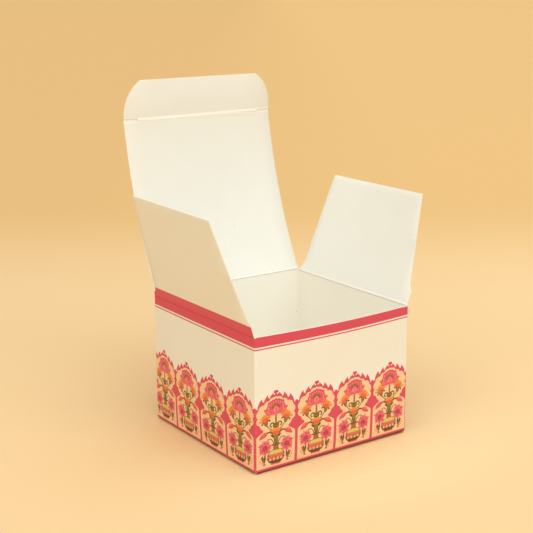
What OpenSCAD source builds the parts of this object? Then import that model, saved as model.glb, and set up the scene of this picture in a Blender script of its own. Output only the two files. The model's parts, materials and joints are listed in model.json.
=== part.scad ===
// Square tuck-top carton of printed paperboard, standing open.
// It is one cut, creased and glued sheet: four walls, a lock bottom, two dust flaps,
// and a bowed lid whose tuck is freed at both ends by a slit.
// The origin is the centre of the base. The front wall is at -Y, the lid's crease at +Y.

/* [Board] */
// Thickness of the paperboard
board = 0.45; // [0.35:0.05:0.6]
// Outside radius of the folded corners, upright and along the base
corner_r = 0.9; // [0.8:0.1:1.4]
// Gap between a wall's top edge and the rolled crease of the flap above it
crease_gap = 0.03; // [0.02:0.01:0.1]

/* [Walls] */
// Outside width, from the left wall to the right wall
box_w = 90; // [80:1:120]
// Outside depth, from the front wall to the back wall
box_d = 88.5; // [80:0.5:120]
// Height of the lid's crease above the table
lid_crease_h = 65.8; // [50:0.2:100]
// Drop from the lid's crease to the dust flaps' creases and the front wall's edge
crease_drop = 0.7; // [0.7:0.1:1.2]
// Width of the glue flap inside the back wall
glue_w = 14; // [8:0.5:20]
// Distance that the glue flap stays clear of the top and of the base
glue_end = 3; // [2:0.5:8]
// Width of the seam that shows at the back left corner
seam_w = 0.15; // [0.1:0.05:0.3]

/* [Lid] */
// Inset of the lid's side edges from the walls' outside faces
lid_inset = 0.9; // [0.7:0.1:2]
// Lean of the lid at its crease, back from upright, as it stands open
lid_lean = 28.3; // [0:0.1:60]
// Angle that the lid bows forward through between its two creases
lid_bow = 19.1; // [12:0.1:30]
// Reach of the lid's corners past the tuck's crease, which rests them on the front wall
corner_reach = 0.8; // [0.4:0.1:0.9]

/* [Tuck] */
// Height of the tuck, from its crease to its straight edge
tuck_h = 20.3; // [14:0.1:28]
// Forward bend of the tuck at its crease, as it stands open
tuck_bend = 14.3; // [0:0.1:60]
// Radius of the tuck's rounded shoulders
tuck_r = 20; // [18:0.5:24]
// Height above the crease at which the rounding starts
tuck_r_start = 3.5; // [2:0.1:5]
// Length of the slit at each end of the crease
slit_len = 7.5; // [5:0.1:12]
// Play between the tuck and the front wall's inside face when the box is shut
tuck_play = 0.1; // [0.1:0.05:0.3]
// Play between a dust flap's shoulder and the slit that takes it
slit_play = 0.175; // [0.1:0.025:0.4]

/* [Dust flaps] */
// Length of a dust flap, from its crease to its tip
flap_len = 54.2; // [40:0.1:62]
// Outward lean of the left dust flap as it stands open
left_lean = 14.5; // [0:0.1:60]
// Outward lean of the right dust flap as it stands open
right_lean = 21.7; // [0:0.1:60]
// Height of the upright shoulder at the flap's front edge
shoulder_h = 6.9; // [5:0.1:9]
// Height over which the shoulder slopes in to the tapered edge
shoulder_slope = 2.4; // [1.5:0.1:4]
// Width of that slope
shoulder_in = 2.2; // [1.5:0.1:4]
// Inset of the tip's front corner from the front wall's outside face
tip_front_in = 14; // [8:0.1:22]
// Inset of the tip's back corner from the back wall's outside face
tip_back_in = 5.6; // [4.2:0.1:10]
// Height of the slanted relief beside the lid's crease
relief_h = 3.7; // [3.5:0.1:6]
// Width of that relief
relief_in = 2.5; // [1.5:0.1:3.4]
// Play between a dust flap's crease ends and the front and back walls' inside faces
flap_play = 0.2; // [0.2:0.05:0.4]

/* [Base] */
// Gap where the front and back base panels meet
base_seam = 0.2; // [0.1:0.05:0.4]
// Place of that gap, behind the middle of the base
base_seam_y = 1.5; // [-5:0.5:5]
// Width of each locking tongue
tongue_w = 10; // [8:0.5:14]
// Reach of a tongue past that gap
tongue_reach = 11; // [8:0.5:16]
// Length over which a tongue climbs onto the other panel
tongue_climb = 5; // [3:0.5:8]
// Gap between the two tongues, and between them and the side panels
tongue_gap = 1; // [0.5:0.25:2]
// Narrowing of a side panel's end, on each side
side_panel_cut = 14; // [8:0.5:20]

/* [Hidden] */

// Fineness of round work
round_fn = 64;
bead_fn = 32;
// Overlap that makes two shapes of one piece a single solid
join = 0.05;

bead_r = board / 2;
inner_r = corner_r - board;
half_w = box_w / 2;
half_d = box_d / 2;
flat_w = box_w - 2 * corner_r;
flat_d = box_d - 2 * corner_r;

// Heights of the creases, and of the wall edges below them
flap_crease_h = lid_crease_h - crease_drop;
back_h = lid_crease_h - bead_r - crease_gap;
side_h = flap_crease_h - bead_r - crease_gap;
front_h = flap_crease_h;
// The side walls' base creases lie one board higher, because their panels lie on top
side_base_h = board + corner_r;

// The lid's two creases, and the arc between them
lid_axis_y = half_d - bead_r;
tuck_axis_shut_y = board + tuck_play + bead_r - half_d;
lid_chord = lid_axis_y - tuck_axis_shut_y;
lid_arc_r = lid_chord / (2 * sin(lid_bow / 2));
lid_w = box_w - 2 * lid_inset;
lid_centre = [lid_axis_y - lid_arc_r * cos(lid_lean), lid_crease_h + lid_arc_r * sin(lid_lean)];
lid_end_angle = lid_bow - lid_lean;
tuck_axis = lid_centre + lid_arc_r * [cos(lid_end_angle), sin(lid_end_angle)];

// The slit leaves room for a dust flap's shoulder above the tuck's end
slit_h = crease_drop + bead_r + slit_play;
crease_w = lid_w - 2 * slit_len;
// Gap between the lid's corners and the tuck's neck
corner_gap = 0.2;
tuck_round_x = lid_w / 2 - tuck_r;

// The dust flaps' crease, from front end to back end
flap_axis_x = half_w - bead_r;
flap_front_y = board + flap_play - half_d;
flap_back_y = half_d - board - flap_play;

PAPER_OUT = [0.94, 0.89, 0.78];
PAPER_LID = [0.96, 0.93, 0.85];
PAPER_TUCK = [0.91, 0.86, 0.74];
PAPER_FLAP = [0.95, 0.92, 0.84];

// Extrudes a section drawn in Y and Z along X, about the middle
module across(w) {
  rotate([90, 0, 90])
    translate([0, 0, -w / 2])
      linear_extrude(w)
        children();
}

// Extrudes a section drawn in X and Z along Y, about the middle
module along(d) {
  rotate([90, 0, 0])
    translate([0, 0, -d / 2])
      linear_extrude(d)
        children();
}

module rounded_rect(w, d, r) {
  square([w - 2 * r, d], center = true);
  square([w, d - 2 * r], center = true);
  for (sx = [-1, 1], sy = [-1, 1])
    translate([sx * (w / 2 - r), sy * (d / 2 - r)])
      circle(r = r, $fn = round_fn);
}

// The closed tube of four walls, seen from above
module wall_ring() {
  difference() {
    rounded_rect(box_w, box_d, corner_r);
    rounded_rect(box_w - 2 * board, box_d - 2 * board, inner_r);
  }
}

// One wall's flat stretch, on the front (side = -1) or at the back (side = 1)
module wall_strip(side, low, high) {
  translate([-flat_w / 2, side > 0 ? half_d - board : -half_d, low])
    cube([flat_w, board, high - low]);
}

// A quarter turn of board from a wall at the left down to a panel at the right
module base_fold() {
  intersection() {
    difference() {
      circle(r = corner_r, $fn = round_fn);
      circle(r = inner_r, $fn = round_fn);
    }
    translate([-2 * corner_r, -2 * corner_r])
      square(2 * corner_r + join / 10);
  }
}

// Front base panel with its fold and its tongue, which ends at seam_y; the back one is turned round
module main_base_panel(seam_y) {
  across(flat_w) {
    translate([corner_r - half_d, corner_r])
      base_fold();
    translate([corner_r - half_d, 0])
      square([half_d - corner_r + seam_y - base_seam / 2, board]);
  }
  translate([-(tongue_w + tongue_gap) / 2, seam_y, 0])
    across(tongue_w)
      polygon([
        [-tongue_climb, 0],
        [-tongue_climb, board],
        [-base_seam, 2 * board],
        [tongue_reach, 2 * board],
        [tongue_reach, board],
        [-base_seam, board],
        [-base_seam, 0]
      ]);
}

// Left base panel, glued on top of the front and back ones
module side_base_panel() {
  panel_tip_x = -(tongue_w + 1.5 * tongue_gap);
  along(flat_d)
    translate([corner_r - half_w, side_base_h])
      base_fold();
  translate([0, 0, board])
    linear_extrude(board)
      polygon([
        [corner_r - half_w, flat_d / 2],
        [panel_tip_x, flat_d / 2 - side_panel_cut],
        [panel_tip_x, side_panel_cut - flat_d / 2],
        [corner_r - half_w, -flat_d / 2]
      ]);
}

module glue_flap() {
  low = side_base_h + glue_end;
  high = side_h - glue_end;
  translate([0, half_d - 1.5 * board, 0])
    along(board)
      polygon([
        [-half_w + board / 2, low],
        [glue_w - half_w, low + glue_w / 4],
        [glue_w - half_w, high - glue_w / 4],
        [-half_w + board / 2, high]
      ]);
}

module carton_body() {
  color(PAPER_OUT)
    union() {
      difference() {
        union() {
          translate([0, 0, side_base_h])
            linear_extrude(side_h - side_base_h)
              wall_ring();
          wall_strip(-1, corner_r, front_h);
          wall_strip(1, corner_r, back_h);
        }
        translate([-flat_w / 2, half_d - board, side_base_h - join])
          cube([seam_w, 2 * board, back_h]);
      }
      glue_flap();
      for (turn = [0, 180])
        rotate([0, 0, turn]) {
          main_base_panel(turn == 0 ? base_seam_y : -base_seam_y);
          side_base_panel();
        }
    }
}

module lid_panel() {
  far = 2 * lid_arc_r;
  corner_w = slit_len - corner_gap;
  color(PAPER_LID) {
    across(lid_w) {
      translate(lid_centre)
        intersection() {
          difference() {
            circle(r = lid_arc_r + bead_r, $fn = 8 * round_fn);
            circle(r = lid_arc_r - bead_r, $fn = 8 * round_fn);
          }
          polygon([
            [0, 0],
            far * [cos(-lid_lean), sin(-lid_lean)],
            far * [cos(lid_end_angle), sin(lid_end_angle)]
          ]);
        }
      translate([lid_axis_y, lid_crease_h])
        circle(r = bead_r, $fn = bead_fn);
      translate(tuck_axis)
        circle(r = bead_r, $fn = bead_fn);
    }
    for (sx = [-1, 1])
      translate([sx * (lid_w - corner_w) / 2, 0, 0])
        across(corner_w)
          translate(tuck_axis)
            rotate(lid_end_angle)
              translate([-bead_r, -join])
                square([board, corner_reach + join]);
  }
}

// The tuck's outline, flat, with its crease on the X axis
module tuck_outline() {
  neck = bead_r + crease_gap;
  translate([-crease_w / 2, neck])
    square([crease_w, slit_h - neck + join]);
  translate([-lid_w / 2, slit_h])
    square([lid_w, tuck_r_start - slit_h]);
  intersection() {
    union() {
      for (sx = [-1, 1])
        translate([sx * tuck_round_x, tuck_r_start])
          circle(r = tuck_r, $fn = 2 * round_fn);
      square([2 * tuck_round_x, 3 * tuck_h], center = true);
    }
    translate([-lid_w / 2, tuck_r_start])
      square([lid_w, tuck_h - tuck_r_start]);
  }
}

module tuck_flap() {
  color(PAPER_TUCK)
    translate([0, tuck_axis[0], tuck_axis[1]])
      rotate([90 + lid_end_angle + tuck_bend, 0, 0])
        translate([0, 0, -bead_r])
          linear_extrude(board)
            tuck_outline();
}

// The right dust flap, leaning out; the left one is its mirror image
module dust_flap(lean) {
  color(PAPER_FLAP)
    translate([flap_axis_x, 0, flap_crease_h])
      rotate([0, lean, 0]) {
        across(board)
          polygon([
            [flap_front_y, 0],
            [flap_front_y, shoulder_h],
            [flap_front_y + shoulder_in, shoulder_h + shoulder_slope],
            [tip_front_in - half_d, flap_len],
            [half_d - tip_back_in, flap_len],
            [flap_back_y - relief_in, relief_h],
            [flap_back_y, relief_h - relief_in],
            [flap_back_y, 0]
          ]);
        translate([0, (flap_front_y + flap_back_y) / 2, 0])
          rotate([90, 0, 0])
            cylinder(r = bead_r, h = flap_back_y - flap_front_y, center = true, $fn = bead_fn);
      }
}

module dust_flap_left() {
  mirror([1, 0, 0])
    dust_flap(left_lean);
}

module dust_flap_right() {
  dust_flap(right_lean);
}

carton_body();
lid_panel();
tuck_flap();
dust_flap_left();
dust_flap_right();
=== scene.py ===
import json
import math
import bmesh
import bpy
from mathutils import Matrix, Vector
from mathutils.geometry import delaunay_2d_cdt


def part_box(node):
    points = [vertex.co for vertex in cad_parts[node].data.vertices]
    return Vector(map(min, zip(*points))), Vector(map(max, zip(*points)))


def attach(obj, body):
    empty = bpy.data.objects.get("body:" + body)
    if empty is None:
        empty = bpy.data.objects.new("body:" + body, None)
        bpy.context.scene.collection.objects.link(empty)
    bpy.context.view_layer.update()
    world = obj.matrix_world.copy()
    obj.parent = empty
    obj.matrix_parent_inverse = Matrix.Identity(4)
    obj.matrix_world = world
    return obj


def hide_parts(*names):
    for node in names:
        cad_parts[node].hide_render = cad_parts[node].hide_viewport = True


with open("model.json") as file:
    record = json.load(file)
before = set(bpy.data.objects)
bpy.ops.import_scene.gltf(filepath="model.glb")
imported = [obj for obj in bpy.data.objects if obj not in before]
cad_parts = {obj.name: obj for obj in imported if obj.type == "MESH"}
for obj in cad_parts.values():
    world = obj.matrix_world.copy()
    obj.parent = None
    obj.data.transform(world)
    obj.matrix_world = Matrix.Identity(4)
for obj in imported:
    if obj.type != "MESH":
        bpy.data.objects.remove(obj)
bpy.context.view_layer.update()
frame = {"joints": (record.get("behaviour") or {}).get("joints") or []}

# Walls and lock bottom.
# One blank of coated ivory board, folded round four creases and glued in the back left corner.
# Its base panels are locked and glued, and its walls have sprung outwards, the front one most.
MM = 0.001
board = 0.45
corner_r = 0.9
crease_gap = 0.03
seam_w = 0.15
glue_w = 14
glue_end = 3
base_seam_y = 1.5
base_seam = 0.2
side_panel_reach = 32.6
side_panel_cut = 14
tongue_w = 10
tongue_gap = 1
tongue_reach = 11
tongue_climb = 5
corner_foot = 0.3
cut_edge_round = 0.07
front_foot_bow = 1.15
front_foot_rise = 6
front_mouth_bow = 1.45
side_bows = {"left": 1.2, "right": 1.2, "back": 1.0}
foot_lift = 0.62
bend_step = 3.75
first_post = -0.25
crease_groove = 0.11
crease_bead = 0.26
crease_half_w = 0.45
bead_begins = 0.15 * board
bead_rise = 0.35 * board
left_foot_share = 0.25
glue_step = 0.8
tongue_above = 0.02
on_edge = 0.01
snap = 1e-4
sharp_angle = math.radians(38)

joints = {joint["name"]: joint for joint in frame["joints"]}


def joint_place(name):
    """Where a joint's axis lies, in millimetres."""
    return Vector(joints[name]["pos_m"]) / MM


body_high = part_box("carton_body")[1] / MM
half_w = body_high.x
half_d = body_high.y
lid_axis = joint_place("lid_crease")
flap_axis = joint_place("right_flap_crease")
front_h = flap_axis.z
side_h = flap_axis.z - board / 2 - crease_gap
back_h = lid_axis.z - board / 2 - crease_gap
flat_w = 2 * (half_w - corner_r)
flat_d = 2 * (half_d - corner_r)
turn = corner_r * math.pi / 2

# The sheet runs from the back left corner to the left, front, right and back walls
RUNS = [
    ("left", 0.0),
    ("left", flat_d),
    ("front", 0.0),
    ("front", flat_w),
    ("right", 0.0),
    ("right", flat_d),
    ("back", 0.0),
    ("back", flat_w),
]
run_ends = []
reached = -(turn + flat_d + turn / 2)
sheet_start = reached
for _, wall_run in RUNS:
    reached += wall_run if wall_run else turn
    run_ends.append(reached)
left_start, left_end, front_start, front_end, right_start, right_end, back_start, back_end = run_ends
sheet_end = back_end - seam_w


def round_tube(u):
    """The point, the outward direction, the wall and the share along it, at length u round the tube."""
    x, y, heading = corner_r - half_w, half_d, math.pi
    gone = sheet_start
    for wall, run in RUNS:
        length = run if run else turn
        step = min(u - gone, length)
        out_x, out_y = math.sin(heading), -math.cos(heading)
        if run:
            x += step * math.cos(heading)
            y += step * math.sin(heading)
            share = step / length
        else:
            centre_x, centre_y = x - out_x * corner_r, y - out_y * corner_r
            heading += step / corner_r
            out_x, out_y = math.sin(heading), -math.cos(heading)
            x, y = centre_x + out_x * corner_r, centre_y + out_y * corner_r
            share = 0.0
        gone += length
        if u <= gone:
            break
    turned = 1.0 if run else step / turn
    return x, y, out_x, out_y, wall, share, turned


def wall_bow(wall, share, v):
    """How far a wall has sprung outwards at a share of its width and a height."""
    across = math.sin(math.pi * min(max(share, 0), 1))
    height = max(v, 0)
    if wall == "front":
        foot = front_foot_bow * (1 - math.exp(-height / front_foot_rise))
        return across * (foot + front_mouth_bow * (height / front_h) ** 3)
    return side_bows[wall] * across * math.sin(math.pi * min(height / side_h, 1))


def creased(distance, lift, bead=crease_bead, half_width=crease_half_w):
    """The lift near a crease: a groove outside and a bead inside, at a distance from its axis."""
    inside = min(max((-lift - bead_begins) / bead_rise, 0), 1)
    groove = crease_groove * math.exp(-((distance / crease_half_w) ** 2))
    return lift - groove * (1 - inside) - bead * math.exp(-((distance / half_width) ** 2)) * inside


def raised(point):
    """Lifts a point near the front right foot, where the base has sprung a little off the floor."""
    across = 0.5 + point.x / (2 * half_w)
    forwards = 0.5 - point.y / (2 * half_d)
    low = 1 - point.z / front_h
    share = [min(max(value, 0), 1) for value in (across, forwards, low)]
    rightwards = left_foot_share + (1 - left_foot_share) * share[0]
    return point + Vector((0, 0, foot_lift * rightwards * share[1] ** 2 * share[2]))


def place_wall(u, v, lift):
    """The blank's point (u, v) folded up, at a lift outwards from its printed face."""
    x, y, out_x, out_y, wall, share, turned = round_tube(u)
    if u < sheet_start:
        lift -= board * min((sheet_start - u) / glue_step, 1)
    side = wall in ("left", "right")
    base_z = board * (turned if side else 1 - turned)
    bend_start = base_z + corner_r
    bend = min(max((bend_start - v) / corner_r, 0), math.pi / 2)
    past = max(bend_start - v - turn, 0)
    inward = corner_r * (1 - math.cos(bend)) + past
    z = v if bend == 0 else bend_start - corner_r * math.sin(bend)
    if wall != "front" and turned == 1:
        axis_h = lid_axis.z if wall == "back" else flap_axis.z
        lift = creased(axis_h - v, lift)
    out = wall_bow(wall, share, v) - inward + lift * math.cos(bend)
    return raised(Vector((x + out_x * out, y + out_y * out, z - lift * math.sin(bend))))


def between(start, end, step):
    """Even stops from start to end, no further apart than step."""
    count = max(1, math.ceil(abs(end - start) / step))
    return [start + (end - start) * k / count for k in range(count + 1)]


def flat_blank(outline, u_lines, v_lines):
    """A flat outline filled with faces, and cut along the lines at which it bends."""
    flat = bmesh.new()
    flat.faces.new([flat.verts.new((u, v, 0)) for u, v in outline])
    for line in u_lines:
        parts = flat.verts[:] + flat.edges[:] + flat.faces[:]
        bmesh.ops.bisect_plane(flat, geom=parts, plane_co=(line, 0, 0), plane_no=(1, 0, 0), dist=snap)
    for line in v_lines:
        parts = flat.verts[:] + flat.edges[:] + flat.faces[:]
        bmesh.ops.bisect_plane(flat, geom=parts, plane_co=(0, line, 0), plane_no=(0, 1, 0), dist=snap)
    flat.normal_update()
    return flat


def faces_out(place):
    """Whether a ring that runs counter-clockwise on the flat blank faces outwards once placed."""
    u, v, step = 0, 10, 0.1
    here = place(u, v, 0)
    along, up = place(u + step, v, 0) - here, place(u, v + step, 0) - here
    return along.cross(up).dot(place(u, v, step) - here) > 0


def add_board(sheet, flat, place, outer, inner, rolled=lambda u, v: False, apart=lambda v: False):
    """Adds a blank of real thickness: printed face, inside face and the rim between them.

    The rim is round where the board is rolled over a crease, and cut elsewhere. Where apart(v) holds,
    the inside face has the piece's fourth material.
    """
    points, faces, slots = sheet
    first_face = len(faces)
    flat.verts.index_update()
    rim_steps = 8
    outer_share = 0.6
    top = len(points)
    points += [place(p.co.x, p.co.y, outer) for p in flat.verts]
    bottom = len(points)
    points += [place(p.co.x, p.co.y, inner) for p in flat.verts]
    for face in flat.faces:
        ring = [p.index for p in face.verts]
        if face.normal.z < 0:
            ring.reverse()
        faces.append([top + k for k in ring])
        slots.append(0)
        faces.append([bottom + k for k in reversed(ring)])
        slots.append(3 if apart(face.calc_center_median().y) else 1)
    leaving = {}
    for edge in flat.edges:
        if edge.is_boundary:
            loop = edge.link_loops[0]
            ends = (loop.vert, loop.link_loop_next.vert)
            if edge.link_faces[0].normal.z < 0:
                ends = ends[::-1]
            leaving[ends[0].index] = ends
    arriving = {ends[1].index: ends for ends in leaving.values()}
    rows = {}
    for index, (start, end) in leaving.items():
        before = arriving[index][0]
        way = Vector((0, 0))
        for a, b in ((before, start), (start, end)):
            step = (b.co - a.co).xy.normalized()
            way += Vector((step.y, -step.x))
        way = way.normalized() if way.length > 0.01 else way
        roll = rolled(start.co.x, start.co.y)
        bulge = board / 2 if roll else cut_edge_round
        row = [top + index]
        for k in range(1, rim_steps):
            angle = math.pi * k / rim_steps
            lift = (outer + inner) / 2 + (outer - inner) / 2 * math.cos(angle)
            spot = start.co.xy + way * bulge * math.sin(angle)
            row.append(len(points))
            points.append(place(spot.x, spot.y, lift))
        row.append(bottom + index)
        rows[index] = row
    for index, (start, end) in leaving.items():
        roll = rolled((start.co.x + end.co.x) / 2, (start.co.y + end.co.y) / 2)
        for k in range(rim_steps):
            a, b = rows[index], rows[end.index]
            faces.append([a[k], a[k + 1], b[k + 1], b[k]])
            slots.append((0 if k < rim_steps * outer_share else 1) if roll else 2)
    if not faces_out(place):
        faces[first_face:] = [ring[::-1] for ring in faces[first_face:]]
    flat.free()


def make_piece(name, points, faces, slots, materials):
    """A mesh object from points in millimetres, smooth but for its sharp edges."""
    mesh = bpy.data.meshes.new(name)
    mesh.from_pydata([p * MM for p in points], [], faces)
    for material in materials:
        mesh.materials.append(material)
    mesh.polygons.foreach_set("material_index", slots)
    mesh.polygons.foreach_set("use_smooth", [True] * len(faces))
    mesh.set_sharp_from_angle(angle=sharp_angle)
    mesh.validate()
    piece = bpy.data.objects.new(name, mesh)
    bpy.context.scene.collection.objects.link(piece)
    return piece


def srgb(red, green, blue):
    """A colour as seen on screen, from 0 to 255, turned into light values."""
    def light(value):
        share = value / 255
        return share / 12.92 if share <= 0.04045 else ((share + 0.055) / 1.055) ** 2.4
    return (light(red), light(green), light(blue), 1)


def add_node(tree, kind, place=(0, 0), **values):
    """A shader node of a kind, with its named inputs set."""
    made = tree.nodes.new("ShaderNode" + kind)
    made.location = place
    for name, value in values.items():
        made.inputs[name.replace("_", " ")].default_value = value
    return made


def mix_colours(tree, factor, first, second, place=(0, 0)):
    """A mix node from the first colour to the second, each a value or a socket."""
    mix = tree.nodes.new("ShaderNodeMix")
    mix.data_type = "RGBA"
    mix.location = place
    tree.links.new(factor, mix.inputs["Factor"])
    for socket, colour in ((mix.inputs["A"], first), (mix.inputs["B"], second)):
        ends = [s for s in mix.inputs if s.name == socket.name and s.type == "RGBA"]
        if isinstance(colour, tuple):
            ends[0].default_value = colour
        else:
            tree.links.new(colour, ends[0])
    return [s for s in mix.outputs if s.type == "RGBA"][0]


def paper_grain_group():
    """Cloudiness, fibres and rare specks of board, on the piece's own coordinates."""
    group = bpy.data.node_groups.new("paper grain", "ShaderNodeTree")
    fibre_size = group.interface.new_socket("Fibre Scale", in_out="INPUT", socket_type="NodeSocketFloat")
    fibre_size.default_value = 1500
    for name in ("Cloud", "Fibre", "Speck", "Height"):
        group.interface.new_socket(name, in_out="OUTPUT", socket_type="NodeSocketFloat")
    inside = group.nodes.new("NodeGroupInput")
    outside = group.nodes.new("NodeGroupOutput")
    where = add_node(group, "TexCoord").outputs["Object"]
    cloud = add_node(group, "TexNoise", Scale=70, Detail=3, Roughness=0.55)
    fibre = add_node(group, "TexNoise", Detail=4, Roughness=0.65, Distortion=0.6)
    fine = add_node(group, "TexNoise", Scale=5200, Detail=2)
    spot = add_node(group, "TexNoise", Scale=420, Detail=1, Roughness=0.4)
    rare = add_node(group, "MapRange", From_Min=0.83, From_Max=0.86)
    height = add_node(group, "Math")
    height.operation = "MULTIPLY_ADD"
    height.inputs[1].default_value = 0.6
    for noise in (cloud, fibre, fine, spot):
        group.links.new(where, noise.inputs["Vector"])
    group.links.new(inside.outputs["Fibre Scale"], fibre.inputs["Scale"])
    group.links.new(spot.outputs["Fac"], rare.inputs["Value"])
    group.links.new(fibre.outputs["Fac"], height.inputs[0])
    group.links.new(fine.outputs["Fac"], height.inputs[2])
    group.links.new(cloud.outputs["Fac"], outside.inputs["Cloud"])
    group.links.new(fibre.outputs["Fac"], outside.inputs["Fibre"])
    group.links.new(rare.outputs["Result"], outside.inputs["Speck"])
    group.links.new(height.outputs["Value"], outside.inputs["Height"])
    return group


paper_grain = paper_grain_group()


def surface(name, roughness, bump_mm, fibre_scale, colour_of):
    """A material whose colour, roughness and bump follow the paper's grain."""
    material = bpy.data.materials.new(name)
    material.use_nodes = True
    tree = material.node_tree
    shader = tree.nodes["Principled BSDF"]
    grain = tree.nodes.new("ShaderNodeGroup")
    grain.node_tree = paper_grain
    grain.inputs["Fibre Scale"].default_value = fibre_scale
    grain.location = (-700, 0)
    tree.links.new(colour_of(tree, grain), shader.inputs["Base Color"])
    spread = 0.05
    rough = add_node(tree, "MapRange", (-300, -200), To_Min=roughness - spread, To_Max=roughness + spread)
    tree.links.new(grain.outputs["Cloud"], rough.inputs["Value"])
    tree.links.new(rough.outputs["Result"], shader.inputs["Roughness"])
    bump = add_node(tree, "Bump", (-300, -400), Strength=0.6, Distance=bump_mm * MM)
    tree.links.new(grain.outputs["Height"], bump.inputs["Height"])
    tree.links.new(bump.outputs["Normal"], shader.inputs["Normal"])
    return material, shader


def board_face(name, pale, deep, speck, roughness, bump_mm):
    """A face of the board: two close tones clouded together, with rare specks."""
    def colour(tree, grain):
        tone = mix_colours(tree, grain.outputs["Cloud"], deep, pale, (-400, 200))
        fibres = add_node(tree, "MapRange", (-500, 400), From_Min=0.35, From_Max=0.7, To_Max=0.35)
        tree.links.new(grain.outputs["Fibre"], fibres.inputs["Value"])
        tone = mix_colours(tree, fibres.outputs["Result"], tone, pale, (-250, 300))
        return mix_colours(tree, grain.outputs["Speck"], tone, speck, (-100, 200))
    material, shader = surface(name, roughness, bump_mm, 1500, colour)
    shader.inputs["Specular IOR Level"].default_value = 0.35
    return material


speck_tone = srgb(214, 188, 146)
coated_board = board_face("coated board", srgb(245, 243, 233), srgb(241, 238, 225), speck_tone, 0.42, 0.006)
inside_board = board_face("inside board", srgb(245, 245, 238), srgb(240, 239, 230), speck_tone, 0.6, 0.012)
# The walls' inside is the same board as the inside of the lid and flaps, painted brighter and warmer: painted
# light for the light that fills the box.
wall_inside_lit_board = board_face("wall inside board with painted light", srgb(255, 252, 242), srgb(255, 249, 236), speck_tone,
                               0.6, 0.012)
cut_board = board_face("cut edge", srgb(248, 240, 222), srgb(236, 225, 202), speck_tone, 0.8, 0.03)
# A paler copy of the inside board on the strip at the tuck's crease, over its raised bead: painted highlight.
crease_highlight_board = board_face("crease board with painted highlight", srgb(255, 253, 246), srgb(253, 249, 240), speck_tone,
                             0.7, 0.02)
BOARD_FACES = [coated_board, inside_board, cut_board, crease_highlight_board]

# The upper edge of each wall, from the left wall to the back wall's seam
top_edge = [
    (sheet_start, side_h),
    (front_start, side_h),
    (front_start, front_h),
    (front_end, front_h),
    (front_end, side_h),
    (back_start, side_h),
    (back_start, back_h),
    (sheet_end, back_h),
]

fold_line_sides = board + corner_r - turn
fold_line_mains = corner_r - turn
side_tip = fold_line_sides - side_panel_reach
front_tip = fold_line_mains - (half_d - corner_r + base_seam_y - base_seam / 2)
back_tip = fold_line_mains - (half_d - corner_r - base_seam_y - base_seam / 2)
glue_low = board + corner_r + glue_end
glue_high = side_h - glue_end
glue_far = sheet_start - glue_w + corner_r
bottom_edge = [
    (sheet_start, corner_foot),
    (left_start, corner_foot),
    (left_start, fold_line_sides),
    (left_start + side_panel_cut, side_tip),
    (left_end - side_panel_cut, side_tip),
    (left_end, fold_line_sides),
    (left_end, corner_foot),
    (front_start, corner_foot),
    (front_start, front_tip),
    (front_end, front_tip),
    (front_end, corner_foot),
    (right_start, corner_foot),
    (right_start, fold_line_sides),
    (right_start + side_panel_cut, side_tip),
    (right_end - side_panel_cut, side_tip),
    (right_end, fold_line_sides),
    (right_end, corner_foot),
    (back_start, corner_foot),
    (back_start, back_tip),
    (sheet_end, back_tip),
]
glue_flap = [
    (sheet_start, glue_high),
    (glue_far, glue_high - glue_w / 4),
    (glue_far, glue_low + glue_w / 4),
    (sheet_start, glue_low),
]
bend_lines_u = []
for flat_start, flat_end in ((left_start, left_end), (front_start, front_end),
                             (right_start, right_end), (back_start, back_end)):
    bend_lines_u += between(flat_start - turn, flat_start, turn / 6)
    first_line = math.ceil((flat_start - first_post) / bend_step)
    last_line = math.floor((flat_end - first_post) / bend_step)
    bend_lines_u += [first_post + bend_step * k for k in range(first_line, last_line + 1)]
bend_lines_u += [sheet_start - glue_step / 2, sheet_start - glue_step]
# The heights at which a wall bends stand close at its foot and rim, and wider apart between
bend_lines_v = between(fold_line_mains, corner_r, turn / 6)
bend_lines_v += between(fold_line_sides, board + corner_r, turn / 6)
bend_lines_v += between(board + corner_r + 1, 12, 1.5) + between(14, side_h - 2, 3)
bend_lines_v += between(side_h - 1.2, side_h - 0.1, 0.2)

carton_sheet = ([], [], [])
blank = flat_blank(bottom_edge + top_edge[::-1] + glue_flap, bend_lines_u, bend_lines_v)
add_board(carton_sheet, blank, place_wall, 0, -board, apart=lambda v: v < board + corner_r)


def place_tongue(side):
    """Places a tongue that climbs from its base panel (side -1 in front) onto the other one."""
    def place(x, t, lift):
        climb = min(max((t + tongue_climb) / (tongue_climb - base_seam), 0), 1)
        z = tongue_above + board * (climb * 2 - climb ** 2) - lift
        y = side * base_seam_y * -1 + t
        return raised(Vector((x * -side, y * -side, z)))
    return place


for tongue_side in (-1, 1):
    middle = -(tongue_w + tongue_gap) / 2
    tongue = [
        (middle - tongue_w / 2, -tongue_climb),
        (middle + tongue_w / 2, -tongue_climb),
        (middle + tongue_w / 2, tongue_reach - 2),
        (middle + tongue_w / 2 - 2, tongue_reach),
        (middle - tongue_w / 2 + 2, tongue_reach),
        (middle - tongue_w / 2, tongue_reach - 2),
    ]
    flat_tongue = flat_blank(tongue, [], between(-tongue_climb, 0, 0.5))
    add_board(carton_sheet, flat_tongue, place_tongue(tongue_side), 0, -board, apart=lambda v: True)

carton = make_piece("carton_sheet", *carton_sheet, [coated_board, wall_inside_lit_board, cut_board, inside_board])
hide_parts("carton_body")
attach(carton, "carton")

# Printed walls.
# Offset print on the outer face: a band and a fine line at the top, and round the foot an arcade of
# cusped arches with flower vases, a traditional ornament, repeated at an even pitch round the sheet.
ink_lift = 0.02
pitch = 6 * bend_step
print_foot = -1.5
foot_band = 1.85
band_low = 60.75
line_low = 59.4
line_high = 60.0
bleed = 5.2
smooth_steps = 3
petal_edge = 0.17
post_edge = 10.5
print_rise = 0.12
print_stretch = 1.012
band_sag = 0.48
band_sag_reach = 45
sag_fade = 2
rim_r = 0.09
rim_print = 0.2
chart_gap = 4

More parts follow.
